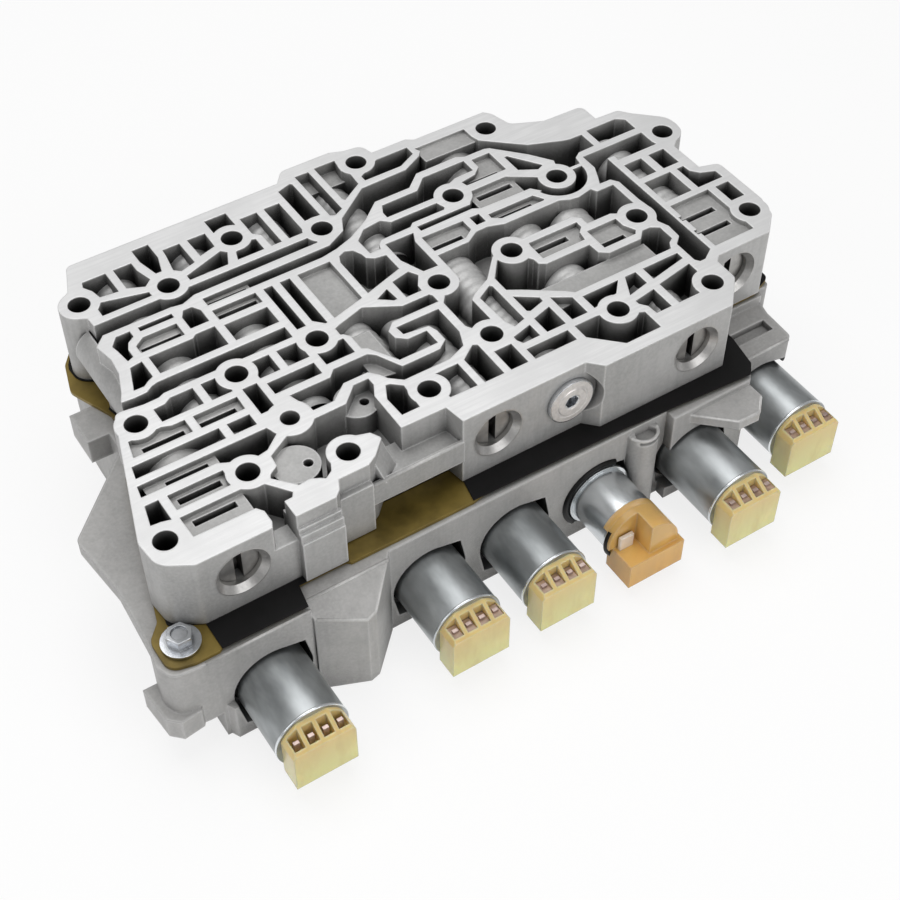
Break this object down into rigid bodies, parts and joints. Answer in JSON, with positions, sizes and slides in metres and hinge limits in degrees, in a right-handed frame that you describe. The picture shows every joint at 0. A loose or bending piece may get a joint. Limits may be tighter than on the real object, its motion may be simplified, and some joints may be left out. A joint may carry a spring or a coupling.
{
  "type": "transmission valve body",
  "caption": "Hydraulic valve body of an automatic transmission: two aluminium housings with a channel maze, bolted round a separator plate, and a row of solenoids.",
  "frame": {"origin": "axis of the blind locating hole at the machined top face", "axes": "+X along the row of solenoids, +Y away from the solenoids, +Z out of the machined top face"},
  "size_m": [0.2989, 0.2105, 0.08],
  "materials": {
    "upper_casting": "milled top, satin cast sides",
    "lower_casting": "satin cast",
    "gasket": "matt black coating",
    "separator_plate": "olive chromate",
    "zinc_steel": "zinc plated",
    "spool_aluminium": "ground and anodised",
    "spring_steel": "dark spring steel",
    "plug_aluminium": "turned",
    "solenoid_can": "zinc plated, satin",
    "bright_can": "bright plated",
    "yellow_plastic": "translucent nylon",
    "amber_plastic": "translucent nylon",
    "terminal": "tinned contacts"
  },
  "bodies": {
    "valve_body": {"bore_plug_a": "plug_aluminium", "bore_plug_e": "plug_aluminium", "bore_plug_k": "plug_aluminium", "corner_flange_bolt": "zinc_steel", "front_end_plugs": "plug_aluminium", "lower_valve_housing": "lower_casting", "rear_end_plugs": "plug_aluminium", "return_spring_a": "spring_steel", "return_spring_e": "spring_steel", "return_spring_k": "spring_steel", "screw_plug": "zinc_steel", "separator_gasket": "gasket", "separator_plate": "separator_plate", "solenoid_can_1": "solenoid_can", "solenoid_can_2": "solenoid_can", "solenoid_can_3": "solenoid_can", "solenoid_can_4": "bright_can", "solenoid_can_5": "solenoid_can", "solenoid_can_6": "solenoid_can", "solenoid_connector_1": "yellow_plastic", "solenoid_connector_2": "yellow_plastic", "solenoid_connector_3": "yellow_plastic", "solenoid_connector_4": "amber_plastic", "solenoid_connector_5": "yellow_plastic", "solenoid_connector_6": "yellow_plastic", "solenoid_terminals_1": "terminal", "solenoid_terminals_2": "terminal", "solenoid_terminals_3": "terminal", "solenoid_terminals_4": "terminal", "solenoid_terminals_5": "terminal", "solenoid_terminals_6": "terminal", "upper_valve_housing": "upper_casting"},
    "spool_a": {"spool_valve_a": "spool_aluminium"},
    "spool_e": {"spool_valve_e": "spool_aluminium"},
    "spool_k": {"spool_valve_k": "spool_aluminium"}
  },
  "joints": [
    {"name": "spool_a_slide", "type": "slide", "parent": "valve_body", "child": "spool_a", "axis": [0, -1, 0], "range_m": [0, 0.005], "stiffness_N_per_m": 400, "springref_m": -0.004, "deforming": ["return_spring_a"]},
    {"name": "spool_e_slide", "type": "slide", "parent": "valve_body", "child": "spool_e", "axis": [0, -1, 0], "range_m": [0, 0.005], "stiffness_N_per_m": 400, "springref_m": -0.004, "deforming": ["return_spring_e"]},
    {"name": "spool_k_slide", "type": "slide", "parent": "valve_body", "child": "spool_k", "axis": [0, 1, 0], "range_m": [0, 0.005], "stiffness_N_per_m": 400, "springref_m": -0.004, "deforming": ["return_spring_k"]}
  ]
}
